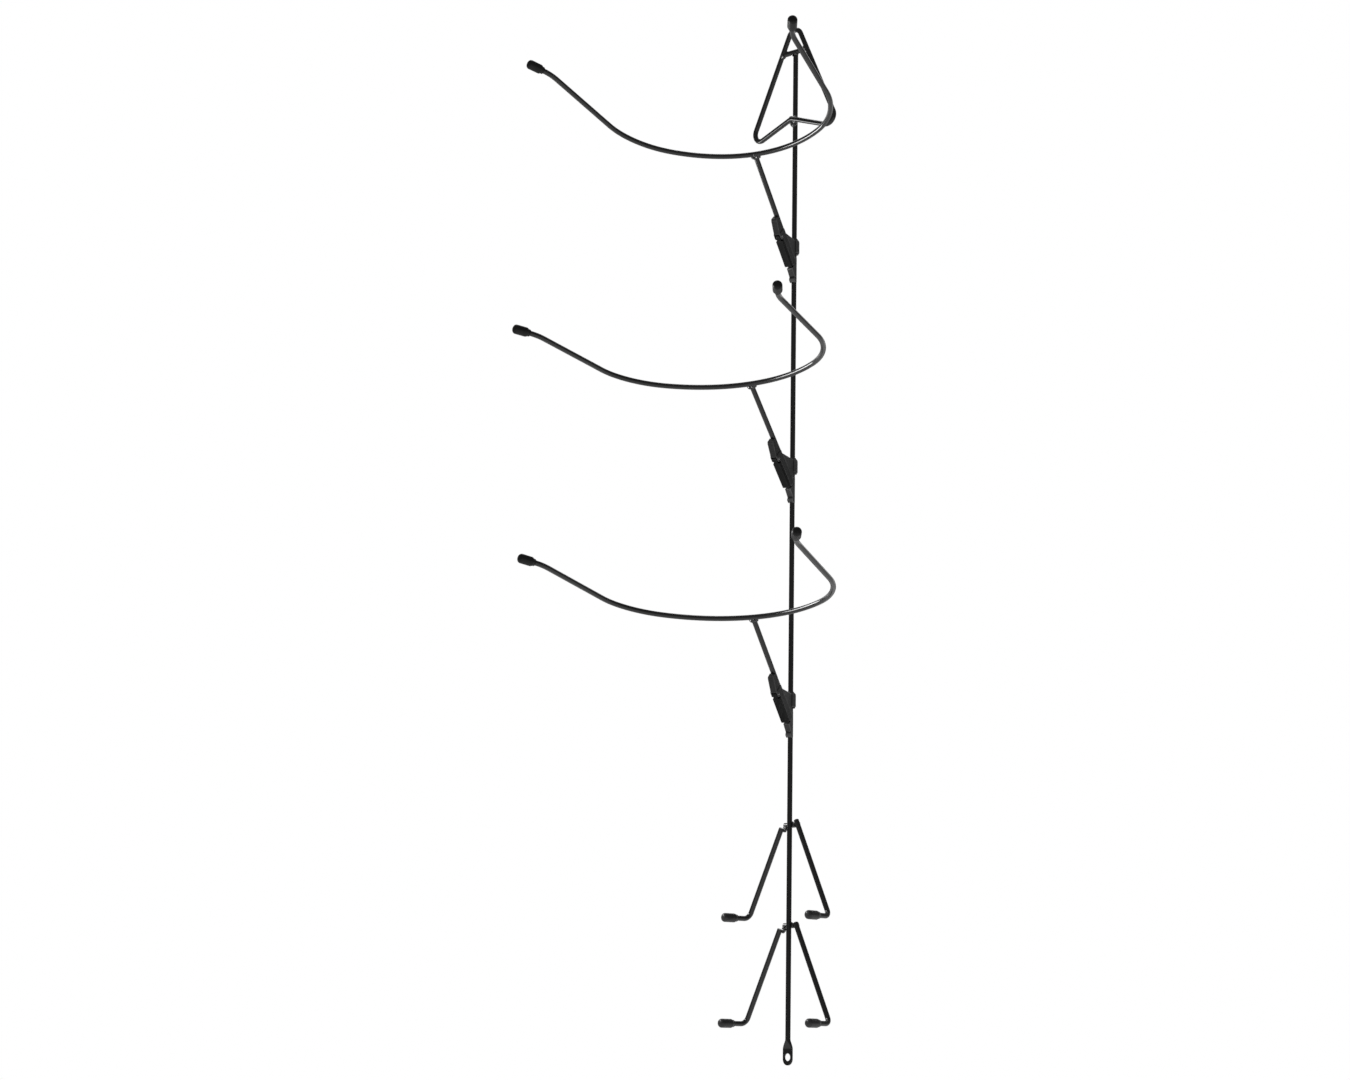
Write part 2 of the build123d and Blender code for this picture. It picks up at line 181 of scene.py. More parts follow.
NODE_SLOT = {s["node"]: s["material_slot"] for s in frame["record"]["subparts"]}
for nm, ob in frame["nodes"].items():
    mat = MATS[NODE_SLOT[nm]]
    if len(ob.material_slots) == 0:
        ob.data.materials.append(mat)
    for sl in ob.material_slots:
        sl.material = mat


# ------------------------------------------------------------------ mesh helpers
def smooth(ob, angle=40.0):
    me = ob.data
    for p in me.polygons:
        p.use_smooth = True
    bm = bmesh.new()
    bm.from_mesh(me)
    lim = radians(angle)
    for e in bm.edges:
        e.smooth = not (len(e.link_faces) == 2 and e.calc_face_angle(0) > lim)
    bm.to_mesh(me)
    bm.free()


def make(name, verts, faces, mat, body, replaces=(), angle=40.0):
    me = bpy.data.meshes.new(name)
    me.from_pydata([tuple(v * MM for v in p) for p in verts], [], faces)
    me.validate()
    bm = bmesh.new()
    bm.from_mesh(me)
    bmesh.ops.recalc_face_normals(bm, faces=bm.faces)
    bm.to_mesh(me)
    bm.free()
    ob = bpy.data.objects.new(name, me)
    bpy.context.scene.collection.objects.link(ob)
    me.materials.append(mat)
    smooth(ob, angle)
    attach(ob, body)
    if replaces:
        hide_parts(*replaces)
    return ob


def straight(p, q, step=9.0):
    p, q = Vector(p), Vector(q)
    n = max(1, int((q - p).length / step))
    return [p.lerp(q, i / n) for i in range(n + 1)]


def bent(pts, radii, closed=False, step_deg=3.0):
    """Samples straight runs joined by tangent arcs."""
    pts = [Vector(p) for p in pts]
    n = len(pts)
    idx = list(range(n)) if closed else list(range(1, n - 1))
    arcs = {}
    for k, i in enumerate(idx):
        a, b, c = pts[(i - 1) % n], pts[i], pts[(i + 1) % n]
        d1, d2 = (a - b).normalized(), (c - b).normalized()
        turn = pi - d1.angle(d2)
        R = radii[k]
        t = R * tan(turn / 2)
        bis = (d1 + d2).normalized()
        centre = b + bis * (R / cos(turn / 2))
        s, e = b + d1 * t, b + d2 * t
        m = max(4, int(degrees(turn) / step_deg))
        v0 = s - centre
        ax = (s - centre).cross(e - centre).normalized()
        arcs[i] = [centre + Matrix.Rotation(turn * j / m, 3, ax) @ v0 for j in range(m + 1)]
    out = []
    if closed:
        for i in range(n):
            out += arcs[i]
            run = straight(arcs[i][-1], arcs[(i + 1) % n][0])
            out += run[1:-1]
        return out
    cur = pts[0]
    for i in range(1, n - 1):
        out += straight(cur, arcs[i][0])[:-1] + arcs[i]
        cur = arcs[i][-1]
    return out + straight(cur, pts[-1])[1:]


def tube(path, r=ROD, closed=False, seg=40, chamfer=(0.35, 0.35), wob=0.0, seed=0.0):
    """Swept round rod, with sawn and lightly broken ends."""
    path = [Vector(p) for p in path]
    n = len(path)
    tang = []
    for i in range(n):
        a = path[(i - 1) % n] if (closed or i > 0) else path[i]
        b = path[(i + 1) % n] if (closed or i < n - 1) else path[i]
        tang.append((b - a).normalized())
    ref = Vector((0, 0, 1)) if abs(tang[0].z) < 0.9 else Vector((1, 0, 0))
    nrm = (ref - tang[0] * ref.dot(tang[0])).normalized()
    frames = []
    for i in range(n):
        nrm = (nrm - tang[i] * nrm.dot(tang[i])).normalized()
        frames.append((nrm.copy(), tang[i].cross(nrm)))
    rings, radii = [], []
    P = list(path)
    F = list(frames)
    R = [r] * n
    if not closed:
        if chamfer[0]:
            P = [path[0], path[0] + tang[0] * chamfer[0]] + P[1:]
            F = [frames[0]] + F
            R = [r - chamfer[0], r] + R[1:]
        if chamfer[1]:
            P = P[:-1] + [path[-1] - tang[-1] * chamfer[1], path[-1]]
            F = F + [frames[-1]]
            R = R[:-1] + [r, r - chamfer[1]]
    verts = []
    for i, (p, (u, v), rr) in enumerate(zip(P, F, R)):
        for k in range(seg):
            a = 2 * pi * k / seg
            q = rr
            if wob:
                q = rr * (1 - wob * abs(noise.noise(Vector((p.x * 0.05 + seed, p.y * 0.05 + p.z * 0.05, a)))))
            verts.append(p + u * (q * cos(a)) + v * (q * sin(a)))
    m = len(P)
    faces = []
    for i in range(m if closed else m - 1):
        j = (i + 1) % m
        off = 0
        if closed and j == 0:
            # the frame has turned a little round the loop: join to the nearest vertex
            base = verts[i * seg]
            off = min(range(seg), key=lambda k: (verts[k] - base).length)
        for k in range(seg):
            faces.append((i * seg + k, i * seg + (k + 1) % seg, j * seg + (k + 1 + off) % seg, j * seg + (k + off) % seg))
    if not closed:
        for base, c in ((0, P[0]), ((m - 1) * seg, P[-1])):
            ci = len(verts)
            verts.append(c)
            for k in range(seg):
                faces.append((base + k, base + (k + 1) % seg, ci))
    return verts, faces


def lathe(end, direction, prof, seg=56):
    """Turns (z, r) round the line through end; z is measured back from the end."""
    d = Vector(direction).normalized()
    ref = Vector((0, 0, 1)) if abs(d.z) < 0.9 else Vector((1, 0, 0))
    u = (ref - d * ref.dot(d)).normalized()
    v = d.cross(u)
    end = Vector(end)
    verts, faces = [], []
    rows = []
    for z, r in prof:
        c = end - d * z
        if r < 1e-6:
            rows.append([len(verts)])
            verts.append(c)
        else:
            rows.append(list(range(len(verts), len(verts) + seg)))
            verts += [c + u * (r * cos(2 * pi * k / seg)) + v * (r * sin(2 * pi * k / seg)) for k in range(seg)]
    for a, b in zip(rows, rows[1:]):
        for k in range(seg):
            k2 = (k + 1) % seg
            if len(a) == 1:
                faces.append((a[0], b[k], b[k2]))
            elif len(b) == 1:
                faces.append((a[k], a[k2], b[0]))
            else:
                faces.append((a[k], a[k2], b[k2], b[k]))
    return verts, faces


def cap_profile(R, L, taper=3.2):
    """Dipped or moulded cap: domed end, straight body, tapered mouth with a soft lip, blind bore."""
    # domed nose, a little blunter than a half ball
    nose, blunt = 4.3, 2 / 2.35
    p = []
    for i in range(0, 17):
        a = pi / 2 * i / 16
        p.append((nose * (1 - cos(a) ** blunt) if i < 16 else nose, R * sin(a) ** blunt))
    p += [(L * 0.36, R), (L * 0.5, R - 0.02), (L - taper - 1.6, R - 0.05)]
    # neck down towards the rod
    rm = ROD + 1.15
    for i in range(1, 8):
        t = i / 8
        s = t * t * (3 - 2 * t)
        p.append((L - taper - 1.6 + taper * t, (R - 0.05) * (1 - s) + rm * s))
    p += [(L - 1.2, rm), (L - 0.45, rm - 0.03), (L - 0.12, rm - 0.22), (L, rm - 0.55), (L, ROD + 0.25), (L - 0.25, ROD + 0.04), (L - 1.2, ROD + 0.02),
          (3.2, ROD + 0.02), (3.2, 0.0)]
    return p


def weld_ring(p, a, b, ra=ROD, rb=ROD, w=1.7, seed=0.0, seg=96, back=None):
    """Fillet bead where a rod with axis a butts on a rod with axis b at p (on b's axis)."""
    p, a, b = Vector(p), Vector(a).normalized(), Vector(b).normalized()
    u = (b - a * b.dot(a)).normalized()
    v = a.cross(u)
    K = 7
    verts, faces = [], []
    for i in range(seg):
        ph = 2 * pi * i / seg
        e = u * cos(ph) + v * sin(ph)
        # where the generator of rod a meets rod b
        o = e * ra
        op = o - b * o.dot(b)
        ap = a - b * a.dot(b)
        A, B, C = ap.dot(ap), 2 * op.dot(ap), op.dot(op) - rb * rb
        disc = max(0.0, B * B - 4 * A * C)
        t = (-B + sqrt(disc)) / (2 * A)
        crease = p + o + a * t
        rel = crease - p
        nb = (rel - b * rel.dot(b)).normalized()
        d = e - a * 0.45
        d = (d - nb * d.dot(nb))
        d = d.normalized() if d.length > 1e-6 else -a
        ww = w * (1 + 0.22 * noise.noise(Vector((cos(ph) * 1.3 + seed, sin(ph) * 1.3, seed))) + 0.09 * sin(ph * 13 + seed * 7)
                  + 0.06 * noise.noise(Vector((cos(ph) * 5, sin(ph) * 5 + seed, 3.1))))
        la = crease + a * ww - e * 0.12
        q = crease + d * ww
        rq = q - p
        perp = rq - b * rq.dot(b)
        lb = p + b * rq.dot(b) + perp.normalized() * (rb - 0.12)
        mid = (la + lb) * 0.5
        out = (mid - crease)
        out = out.normalized() if out.length > 1e-4 else e
        bul = 0.34 * ww * (1 + 0.25 * noise.noise(Vector((cos(ph) * 3 + 5, sin(ph) * 3 + seed, 1.7))) + 0.10 * sin(ph * 13 + seed * 7 + 1.0))
        for k in range(K):
            s = k / (K - 1)
            verts.append(la.lerp(lb, s) + out * (bul * sin(pi * s)))
        verts.append(crease - out * 0.5)
    n = K + 1
    for i in range(seg):
        j = (i + 1) % seg
        for k in range(n):
            k2 = (k + 1) % n
            faces.append((i * n + k, i * n + k2, j * n + k2, j * n + k))
    return verts, faces


def blob(c, size, rot=None, seed=0.0, amp=0.16, sub=4):
    """Lump of weld metal: a displaced ellipsoid with the ripples of a bead."""
    bm = bmesh.new()
    bmesh.ops.create_icosphere(bm, subdivisions=sub, radius=1.0)
    verts = []
    rot = rot or Matrix.Identity(3)
    for v in bm.verts:
        n = v.co.normalized()
        k = 1 + amp * noise.noise(n * 1.4 + Vector((seed, 2 * seed, 0))) + 0.25 * amp * noise.noise(n * 3.7 + Vector((0, seed, seed)))
        k += 0.022 * sin(n.x * 13 + n.z * 4 + seed * 5) + 0.08 * amp * noise.noise(n * 7.0 + Vector((seed, 0, seed)))
        q = Vector((n.x * size[0], n.y * size[1], n.z * size[2])) * k
        verts.append(Vector(c) + rot @ q)
    faces = [tuple(v.index for v in f.verts) for f in bm.faces]
    bm.free()
    return verts, faces


def join(*parts):
    V, F = [], []
    for v, f in parts:
        o = len(V)
        V += list(v)
        F += [tuple(i + o for i in q) for q in f]
    return V, F


# ------------------------------------------------------------------ hanger and pole
HS_Y = -1.5
APEX = (0, HS_Y, 1231.6)
COR_R, COR_L = (73.5, -1.8, 1083.7), (-73.5, -1.8, 1083.7)
VEE = (0, -6.15, 1107.6)
BAR_Z = 1191.6
loop = bent([APEX, COR_R, VEE, COR_L], [10.0, 10.5, 12.0, 10.5], closed=True)
v, f = tube(loop, closed=True)
hanger = make("hanger_wire_rod", v, f, M_PAINT, "frame", ["hanger_wire"])
half = (APEX[2] - BAR_Z) * 73.5 / (APEX[2] - COR_R[2])
v, f = tube(straight((-half + 0.4, HS_Y, BAR_Z), (half - 0.4, HS_Y, BAR_Z), 3.0), chamfer=(0, 0))
crossbar = make("hanger_crossbar_rod", v, f, M_PAINT, "frame", ["hanger_crossbar"])
side_dir = Vector((73.5, -0.3, -147.9)).normalized()
side_dir_l = Vector((-73.5, -0.3, -147.9)).normalized()
welds = [
    weld_ring((half, HS_Y - 0.08, BAR_Z), (-1, 0, 0), side_dir, w=1.9, seed=1.3),
    weld_ring((-half, HS_Y - 0.08, BAR_Z), (1, 0, 0), side_dir_l, w=2.1, seed=4.1),
    weld_ring((0, HS_Y, BAR_Z), (0, 0, -1), (1, 0, 0), w=1.9, seed=7.7),
    blob((-half + 2.4, HS_Y - 2.0, BAR_Z - 2.1), (2.3, 1.7, 1.9), seed=2.2),
    blob((half - 2.2, HS_Y + 1.8, BAR_Z + 1.6), (2.1, 1.6, 1.8), seed=5.2),
    blob((2.4, HS_Y - 1.7, BAR_Z - 2.6), (1.8, 1.5, 1.7), seed=8.2),
]
v, f = join(*welds)
make("hanger_crossbar_welds", v, f, M_WELD, "frame")
welds = [
    blob((-2.9, -3.7, 1109.6), (3.5, 2.4, 2.3), seed=0.4, amp=0.2),
    blob((2.9, -3.7, 1109.4), (3.3, 2.4, 2.2), seed=3.4, amp=0.2),
    blob((-3.0, -3.9, 1103.6), (2.8, 2.2, 2.0), seed=6.4, amp=0.2),
    blob((3.0, -3.9, 1103.4), (2.9, 2.2, 2.0), seed=9.4, amp=0.2),
    blob((0.0, -2.6, 1102.0), (4.5, 2.9, 4.4), seed=12.4, amp=0.12),
    blob((-3.4, -4.4, 1104.6), (2.4, 2.0, 2.2), seed=14.4, amp=0.16),
    blob((3.4, -4.4, 1104.4), (2.4, 2.0, 2.2), seed=16.4, amp=0.16),
]
v, f = join(*welds)
make("hanger_vee_welds", v, f, M_WELD, "frame")


def superellipse_ring(z, rx, ry, e, seg=96):
    out = []
    for k in range(seg):
        a = 2 * pi * k / seg
        c, s = cos(a), sin(a)
        out.append(Vector((rx * math.copysign(abs(c) ** (2 / e), c), ry * math.copysign(abs(s) ** (2 / e), s), z)))
    return out


def pole_mesh():
    TW, TT, NECK, SH, LOW = 7.2, 1.0, 20.5, 9.0, -9.3
    rows = []
    z = 1189.9
    zs = [1189.9, 1189.0] + [1180 - 20 * i for i in range(57)] + [56, 50, 42, 34, 28, 24, 22, 20.5]
    for z in zs:
        rows.append(superellipse_ring(z, ROD, ROD, 2.0))
    n = 14
    for i in range(1, n + 1):
        t = i / n
        s = t * t * (3 - 2 * t)
        z = NECK + (SH - NECK) * t
        ry = ROD + (TT - ROD) * s
        rx = min(TW, ROD + (TW - ROD) * s)
        rows.append(superellipse_ring(z, rx, ry, 2.0 + 5.0 * s))
    rc = CORNER
    for z in [7.0, 5.0, 3.0, 1.0, -1.0, -3.0, LOW + rc]:
        rows.append(superellipse_ring(z, TW, TT, 7.0))
    m = 9
    for i in range(1, m + 1):
        a = pi / 2 * i / m
        zz = LOW + rc - rc * sin(a) * 0.995
        rows.append(superellipse_ring(zz, TW - rc + rc * cos(a) * 1.0, TT * (1.0 if i < m else 0.72), 7.0 if i < m else 5.0))
    seg = len(rows[0])
    verts = [p for r in rows for p in r]
    faces = []
    for i in range(len(rows) - 1):
        for k in range(seg):
            k2 = (k + 1) % seg
            faces.append((i * seg + k, i * seg + k2, (i + 1) * seg + k2, (i + 1) * seg + k))
    faces.append(tuple(range(seg)))
    faces.append(tuple(reversed(range((len(rows) - 1) * seg, len(rows) * seg))))
    return verts, faces


CORNER = 7.1
EYE_R = 4.3
v, f = pole_mesh()
pole = make("pole_rod", v, f, M_PAINT, "frame", ["pole"], angle=50)
# punch the eye
cv, cf = lathe((0, -4, 0), (0, -1, 0), [(0, 0), (0, EYE_R + 1.1), (3.0, EYE_R + 0.35), (3.35, EYE_R), (4.65, EYE_R), (5.0, EYE_R + 0.35), (8, EYE_R + 1.1), (8, 0)], seg=64)
cme = bpy.data.meshes.new("punch")
cme.from_pydata([tuple(q * MM for q in p) for p in cv], [], cf)
bmc = bmesh.new(); bmc.from_mesh(cme); bmesh.ops.recalc_face_normals(bmc, faces=bmc.faces); bmc.to_mesh(cme); bmc.free()
cob = bpy.data.objects.new("punch", cme)
bpy.context.scene.collection.objects.link(cob)
md = pole.modifiers.new("eye", "BOOLEAN")
md.operation = "DIFFERENCE"
md.solver = "EXACT"
md.use_self = True
md.object = cob
dg = bpy.context.evaluated_depsgraph_get()
cut = bpy.data.meshes.new_from_object(pole.evaluated_get(dg))
pole.modifiers.clear()
pole.data = cut
bpy.data.objects.remove(cob)
smooth(pole, 38)

# ------------------------------------------------------------------ peg frames
for name, g in PEGS.items():
    zc, zf, dx = g["zc"], g["zf"], g["dx"]
    ends = []
    for sx, sn in ((-1, "left"), (1, "right")):
        top = g["top_l"] if sx < 0 else g["top_r"]
        xf = sx * (11.8 + 0.478 * (zc - zf)) + dx
        xt = sx * (11.8 + 0.478 * (zc - top)) + dx
        tip = Vector((xf + sx * 2.9, -42.5, zf))
        d = (tip - Vector((xf, -1.4, zf))).normalized()
        path = bent([(xt, 0, top), (xf, -1.4, zf), tuple(tip - d * 3.0)], [8.0])
        v, f = tube(path, chamfer=(0.4, 0))
        make(f"{name}_peg_{sn}_rod", v, f, M_PAINT, "frame", [f"{name}_peg_{sn}_leg"])
        v, f = lathe(tip, d, cap_profile(*PEG_CAP))
        make(f"{name}_peg_{sn}_end_cap", v, f, M_PEGCAP, "frame", [f"{name}_peg_{sn}_cap"])
        ends.append((sx * 11.8 + dx, min(zc, top - 0.5)))
    v, f = tube(straight((-CROSS_L, 6.0, zc), (CROSS_R, 6.0, zc), 3.0), chamfer=(0.4, 0.4))
    make(f"{name}_peg_cross_bar", v, f, M_PAINT, "frame", [f"{name}_peg_cross_rod"])
    s0 = 1.0 if name == "upper" else 11.0
    welds = []
    for k, (x, z) in enumerate(ends):
        sg = -1 if x < 0 else 1
        welds += [blob((x - sg * 0.8, 2.6, z - 2.3), (2.4, 1.9, 2.0), seed=s0 + k, amp=0.26),
                  blob((x - sg * 1.4, 2.7, z + 1.7), (2.3, 1.9, 1.8), seed=s0 + 3 + k, amp=0.26),
                  blob((x - sg * 3.0, 2.6, z - 0.3), (1.8, 1.8, 2.3), seed=s0 + 6 + k, amp=0.26)]
    # the right leg is joined across the short gap at the end of the cross rod
    xr, zr = ends[1]
    welds += [blob((0.5 * (CROSS_R + xr - 1.9), 3.5, 0.5 * (zc + zr)), (3.1, 2.3, 2.6), rot=Matrix.Rotation(radians(-40), 3, "Z"), seed=s0 + 18, amp=0.14)]
    welds += [blob((-2.9, 3.2, zc + 0.4), (2.0, 1.9, 2.5), seed=s0 + 12, amp=0.22), blob((2.9, 3.2, zc - 0.3), (2.0, 1.9, 2.4), seed=s0 + 14, amp=0.22),
              blob((0, 3.4, zc + 2.9), (2.6, 1.8, 1.5), seed=s0 + 16, amp=0.2)]
    v, f = join(*welds)
    make(f"{name}_peg_welds", v, f, M_WELD, "frame")


# ------------------------------------------------------------------ arms
def cradle_path():
    pts = [(0.0, 0.0)]
    x = y = th = 0.0
    for k, s in enumerate(CRADLE):
        if s[0] == "line":
            L = s[1] - (3.2 if k == len(CRADLE) - 1 else 0)
            n = max(2, int(L / 8))
            pts += [(x + L * i / n * cos(th), y + L * i / n * sin(th)) for i in range(1, n + 1)]
            x, y = pts[-1]
            tip = (x + (s[1] - L) * cos(th), y + (s[1] - L) * sin(th))
        else:
            R, a, sg = s[1], radians(s[2]), s[3]
            cx, cy = x - sg * R * sin(th), y + sg * R * cos(th)
            n = max(6, int(R * a / 3.0))
            pts += [(cx + sg * R * sin(th + sg * a * i / n), cy - sg * R * cos(th + sg * a * i / n)) for i in range(1, n + 1)]
            x, y = pts[-1]
            th += sg * a
    return pts, tip, (cos(th), sin(th))


HALF, TIP, TDIR = cradle_path()


def remeshed(node, name, mat, voxel=0.36, body=None, shrink=0.14, iters=12):
    """The moulded part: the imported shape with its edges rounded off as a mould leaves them."""
    src = frame["nodes"][node]
    me = src.data.copy()
    me.name = name
    ob = bpy.data.objects.new(name, me)
    bpy.context.scene.collection.objects.link(ob)
    bm = bmesh.new()
    bm.from_mesh(me)
    bmesh.ops.remove_doubles(bm, verts=bm.verts, dist=1e-6)
    bm.to_mesh(me)
    bm.free()
    r = ob.modifiers.new("r", "REMESH")
    r.mode = "VOXEL"
    r.voxel_size = voxel * MM
    r.use_smooth_shade = True
    s = ob.modifiers.new("s", "SMOOTH")
    s.factor = 0.5
    s.iterations = iters
    dg = bpy.context.evaluated_depsgraph_get()
    out = bpy.data.meshes.new_from_object(ob.evaluated_get(dg))
    ob.modifiers.clear()
    ob.data = out
    # the moulding sits a hair inside its nominal faces
    off = [v.co - v.normal * (shrink * MM) for v in out.vertices]
    for v, c in zip(out.vertices, off):
        v.co = c
    out.materials.clear()
    out.materials.append(mat)
    for p in out.polygons:
        p.use_smooth = True
        p.material_index = 0
    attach(ob, body)
    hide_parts(node)
    return ob


LEFT_CAPS, JAWS = [], []
for an, g in ARMS.items():
    al = atan2(g["h"], CRADLE_RHO)
    ca, sa = cos(al), sin(al)
    tau, ro = radians(g["tilt"]), radians(g["roll"])
    sw = Matrix.Rotation(radians(g["swivel"]), 3, "Z")
    lift = Vector((0, 0, g["z"]))
    W = lambda q: lift + sw @ Vector(q)
    origin = Vector((0, -CRADLE_RHO, g["h"]))
    ex = Vector((cos(ro), 0, sin(ro)))
    ev = Vector((0, -cos(tau), sin(tau)))
    nn = ex.cross(ev).normalized()
    ev = nn.cross(ex)
    Mx = lambda x, y: origin + ex * x + ev * y
    U = lambda u, n, x=0.0: Vector((x, -(u * ca + n * sa), u * sa - n * ca))
    body = an + "_arm"
    pts = [W(Mx(-x, y)) for x, y in reversed(HALF)] + [W(Mx(x, y)) for x, y in HALF[1:]]
    v, f = tube(pts, chamfer=(0, 0))
    make(f"{an}_cradle_rod", v, f, M_PAINT, body, [f"{an}_cradle"])
    top_u = hypot(CRADLE_RHO, g["h"])
    v, f = tube(straight(W(U(9.2, 0)), W(U(top_u, 0)), 6.0), chamfer=(0.35, 0))
    make(f"{an}_strut_rod", v, f, M_PAINT, body, [f"{an}_strut"])
    a_dir = sw @ (U(0, 0) - U(1, 0))
    b_dir = sw @ ex
    sd = {"top": 2.0, "middle": 5.0, "bottom": 8.0}[an]
    v, f = join(weld_ring(W(U(top_u, 0)), a_dir, b_dir, w=2.8, seed=sd),
                blob(W(U(top_u - 3.4, 1.9, -2.2)), (2.5, 2.2, 2.3), seed=sd, amp=0.2),
                blob(W(U(top_u - 3.2, 1.6, 2.3)), (2.3, 2.1, 2.2), seed=sd + 3, amp=0.2),
                blob(W(U(top_u - 3.0, -2.4, -0.5)), (2.3, 2.0, 2.2), seed=sd + 5, amp=0.2))
    make(f"{an}_strut_weld", v, f, M_WELD, body)
    for sx, sn in ((-1, "left"), (1, "right")):
        d = sw @ (ex * (sx * TDIR[0]) + ev * TDIR[1])
        v, f = lathe(W(Mx(sx * TIP[0], TIP[1])), d, cap_profile(*TIP_CAP))
        cap = make(f"{an}_{sn}_end_cap", v, f, M_CAP, body, [f"{an}_{sn}_tip_cap"])
        if sx < 0:
            LEFT_CAPS.append(cap)
    JAWS.append(remeshed(f"{an}_clamp_inner_jaw", f"{an}_inner_jaw", M_CLAMP, body=body))
    JAWS.append(remeshed(f"{an}_clamp_outer_jaw", f"{an}_outer_jaw", M_JAW, body=body))
    remeshed(f"{an}_clamp_lever", f"{an}_cam_lever", M_LEVER, body=f"{an}_lever")
    # pin with domed heads
    PU, PN = 44.2, 12.0
    hw = 4.85
    prof = [(0.0, 0.0), (0.0, 0.7), (0.12, 1.05), (0.42, 1.25), (2 * hw - 0.42, 1.25), (2 * hw - 0.12, 1.05), (2 * hw, 0.7), (2 * hw, 0.0)]
    v, f = lathe(W(U(PU, PN, hw)), sw @ Vector((1, 0, 0)), prof, seg=40)
    make(f"{an}_pivot_pin", v, f, M_PIN, body, [f"{an}_lever_pin"])

# ------------------------------------------------------------------ floor, light, camera
fl = bpy.data.meshes.new("floor")
S, ZF = 5.0, -0.42
fl.from_pydata([(-S, -S, ZF), (S, -S, ZF), (S, S, ZF), (-S, S, ZF)], [], [(0, 1, 2, 3)])
floor = bpy.data.objects.new("floor", fl)
bpy.context.scene.collection.objects.link(floor)
fm, nt, b, tc = new_mat("pale_floor")
b.inputs["Base Color"].default_value = (0.7, 0.7, 0.7, 1)
b.inputs["Roughness"].default_value = 0.8
# the studio sweep is lit evenly: it shows pale from every side, and stays dim to the object's reflections
glow = nt.nodes.new("ShaderNodeEmission")
glow.inputs["Color"].default_value = (1, 1, 1, 1)
glow.inputs["Strength"].default_value = 0.72
seen = nt.nodes.new("ShaderNodeLightPath")
none = nt.nodes.new("ShaderNodeEmission")
none.inputs["Strength"].default_value = 0.38
pick = nt.nodes.new("ShaderNodeMixShader")
nt.links.new(seen.outputs["Is Camera Ray"], pick.inputs[0])
nt.links.new(none.outputs[0], pick.inputs[1])
nt.links.new(glow.outputs[0], pick.inputs[2])
both = nt.nodes.new("ShaderNodeAddShader")
nt.links.new(b.outputs[0], both.inputs[0])
nt.links.new(pick.outputs[0], both.inputs[1])
nt.links.new(both.outputs[0], next(n for n in nt.nodes if n.type == "OUTPUT_MATERIAL").inputs[0])
fl.materials.append(fm)

world = bpy.data.worlds.new("studio")
bpy.context.scene.world = world
world.use_nodes = True
nt = world.node_tree
for nd in list(nt.nodes):
    nt.nodes.remove(nd)
wo = nt.nodes.new("ShaderNodeOutputWorld")
tc = nt.nodes.new("ShaderNodeTexCoord")
dot = nt.nodes.new("ShaderNodeVectorMath")
dot.operation = "DOT_PRODUCT"
dot.inputs[1].default_value = (0.679, -0.734, 0.0)
nt.links.new(tc.outputs["Generated"], dot.inputs[0])
mr = nt.nodes.new("ShaderNodeMapRange")
mr.inputs["From Min"].default_value = -1.0
mr.inputs["From Max"].default_value = 1.0
nt.links.new(dot.outputs["Value"], mr.inputs["Value"])
rp = ramp(nt, mr.outputs[0], [(0.0, 0.08), (0.045, 0.12), (0.07, 0.9), (0.115, 0.9), (0.15, 0.2), (0.45, 0.12), (1.0, 0.20)])
bg1 = nt.nodes.new("ShaderNodeBackground")
nt.links.new(rp.outputs[0], bg1.inputs["Color"])
bg1.inputs["Strength"].default_value = 1.0
bg2 = nt.nodes.new("ShaderNodeBackground")
bg2.inputs["Color"].default_value = (1, 1, 1, 1)
bg2.inputs["Strength"].default_value = 1.0
lp = nt.nodes.new("ShaderNodeLightPath")
mx = nt.nodes.new("ShaderNodeMixShader")
nt.links.new(lp.outputs["Is Camera Ray"], mx.inputs[0])
nt.links.new(bg1.outputs[0], mx.inputs[1])
nt.links.new(bg2.outputs[0], mx.inputs[2])
nt.links.new(mx.outputs[0], wo.inputs[0])


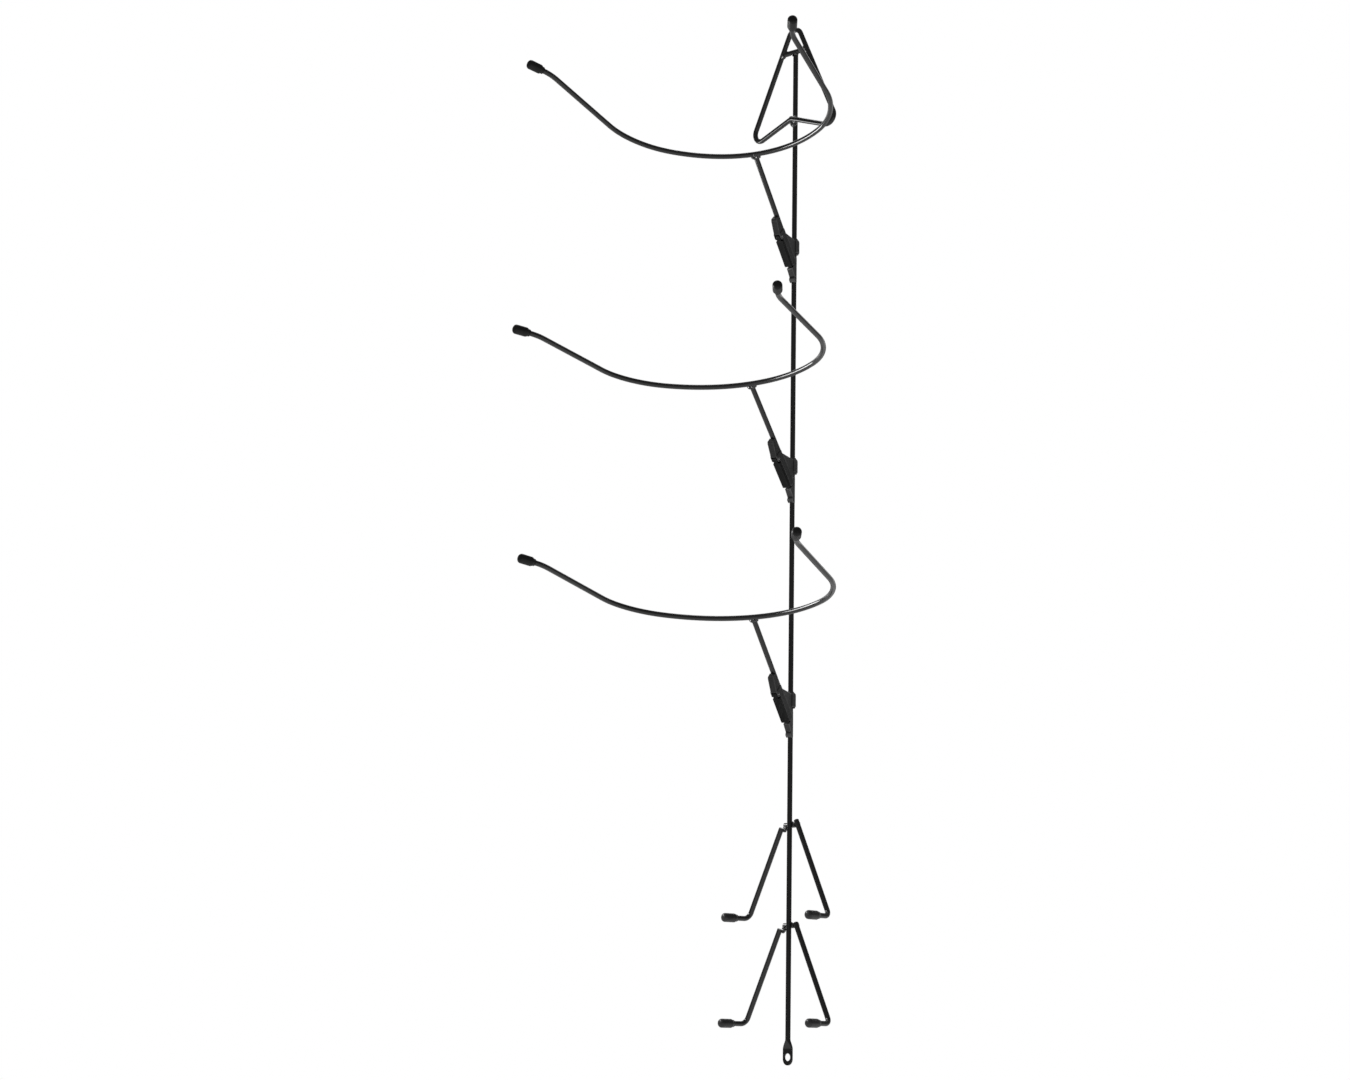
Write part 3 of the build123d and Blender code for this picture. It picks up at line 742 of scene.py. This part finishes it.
def area(name, pos, target, size, power):
    d = bpy.data.lights.new(name, "AREA")
    d.shape = "RECTANGLE"
    d.size, d.size_y = size
    d.energy = power
    o = bpy.data.objects.new(name, d)
    bpy.context.scene.collection.objects.link(o)
    o.location = pos
    o.rotation_euler = (Vector(target) - Vector(pos)).to_track_quat("-Z", "Y").to_euler()
    o.visible_camera = False
    return o


area("top_soft", (-0.75, 0.4, 2.75), (0, -0.05, 1.0), (0.7, 0.7), 5.0)
# the small low light has two halves in one place, and flags keep them off some pieces: neither reaches the pole,
# the hanger's crossbar and the left-hand caps, and only the weaker half reaches the hanger's bent wire and the jaws
low = ((-0.68, -0.56, 0.71), (0.1, -0.15, 0.8), (0.60, 0.30))
for nm, watts, kept_off in (("low_main", 7.6, [pole, crossbar, hanger] + LEFT_CAPS + JAWS), ("low_weak", 3.4, [pole, crossbar] + LEFT_CAPS)):
    lamp = area(nm, *low, watts)
    flag = bpy.data.collections.new(nm + "_flag")
    lamp.light_linking.receiver_collection = flag
    for ob in kept_off:
        flag.objects.link(ob)
    for link in flag.collection_objects:
        link.light_linking.link_state = "EXCLUDE"

K = 1.1545 * MM
D, HZ = 3157.88 * K, -9.97 * K - 9.3 * MM
az, pitch, yaw, roll = radians(42.76), radians(9.6), radians(-2.15), radians(0.82)
C = Vector((D * sin(az), -D * cos(az), HZ))
f0, r0, u0 = Vector((-sin(az), cos(az), 0)), Vector((cos(az), sin(az), 0)), Vector((0, 0, 1))
f1, r1 = cos(yaw) * f0 + sin(yaw) * r0, -sin(yaw) * f0 + cos(yaw) * r0
f2, u2 = cos(pitch) * f1 + sin(pitch) * u0, -sin(pitch) * f1 + cos(pitch) * u0
r3, u3 = cos(roll) * r1 + sin(roll) * u2, -sin(roll) * r1 + cos(roll) * u2
cd = bpy.data.cameras.new("photo_camera")
cd.sensor_fit = "HORIZONTAL"
cd.sensor_width = 36.0
cd.lens = 3157.88 / 1350 * 36.0
cd.clip_start, cd.clip_end = 0.05, 50
cam = bpy.data.objects.new("photo_camera", cd)
bpy.context.scene.collection.objects.link(cam)
cam.matrix_world = Matrix(((r3.x, u3.x, -f2.x, C.x), (r3.y, u3.y, -f2.y, C.y), (r3.z, u3.z, -f2.z, C.z), (0, 0, 0, 1)))
bpy.context.scene.camera = cam
bpy.context.scene.view_settings.view_transform = "Standard"
